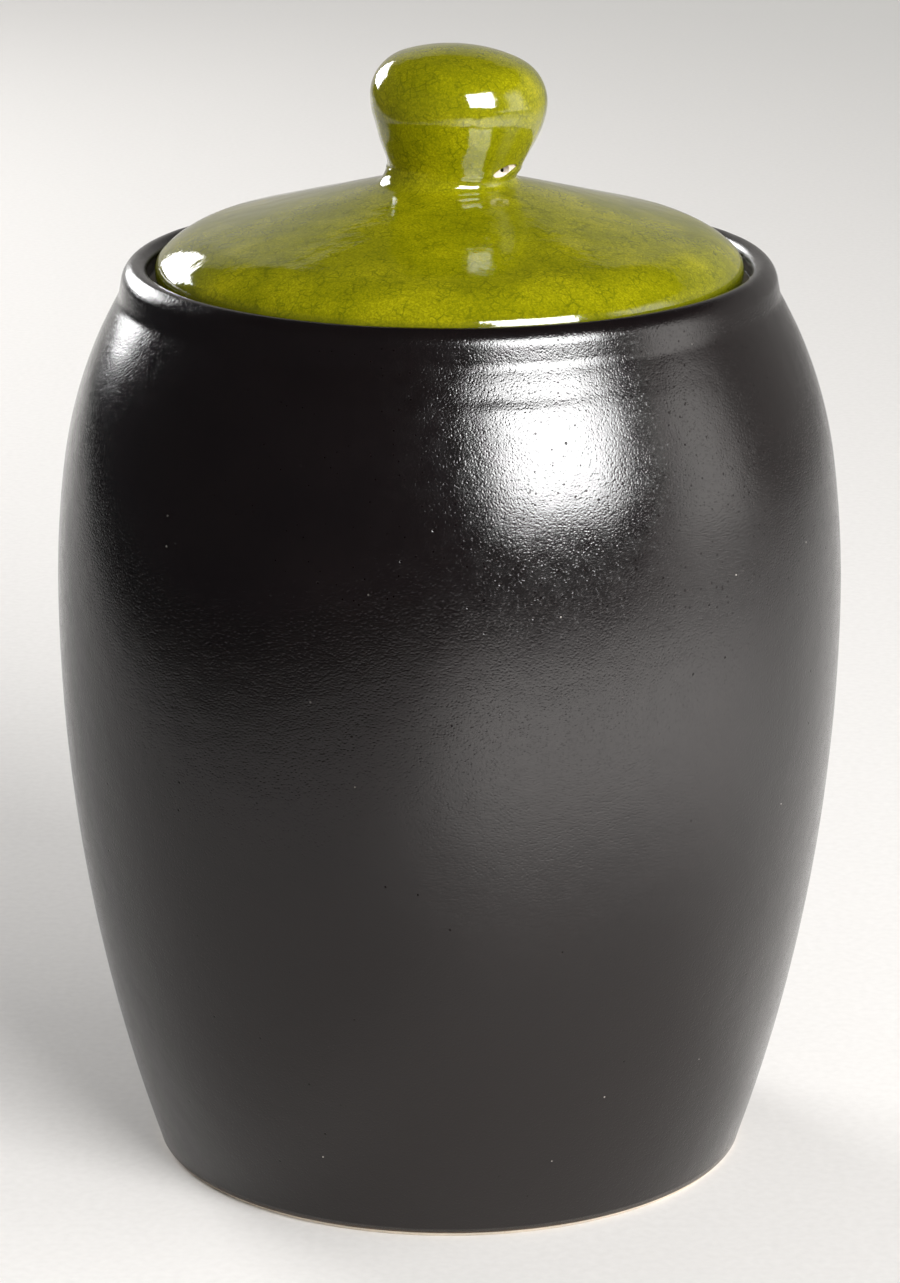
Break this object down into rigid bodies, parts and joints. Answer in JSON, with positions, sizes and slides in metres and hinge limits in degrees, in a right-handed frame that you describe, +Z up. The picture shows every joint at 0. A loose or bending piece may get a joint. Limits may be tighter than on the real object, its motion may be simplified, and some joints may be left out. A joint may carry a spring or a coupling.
{
  "type": "biscuit jar",
  "caption": "Barrel-shaped glazed ceramic biscuit jar with a gallery inside its lip and a domed lid with a round knob that lifts off.",
  "frame": {"origin": "centre of the circle that the jar stands on, at the height of the table", "axes": "+Z up along the jar's axis of revolution; +X to the right and -Y towards the viewer of the picture, who sees the vent hole in the knob's neck between -Y and +X"},
  "size_m": [0.165, 0.165, 0.2368],
  "materials": {
    "bare_clay": "unglazed pale buff clay, matte and slightly gritty",
    "black_glaze": "warm black satin glaze with a fine pitted texture",
    "green_glaze": "glossy yellow-green crackle glaze, mottled, thin and pale on sharp edges"
  },
  "bodies": {
    "root": {"jar_body": "bare_clay", "jar_glaze_outside": "black_glaze", "jar_glaze_inside": "black_glaze"},
    "lid": {"lid_body": "bare_clay", "knob_body": "bare_clay", "lid_glaze": "green_glaze", "knob_glaze": "green_glaze"}
  },
  "joints": [
    {"name": "lid_lift", "type": "slide", "parent": "root", "child": "lid", "axis": [0, 0, 1], "range_m": [0, 0.12]}
  ]
}
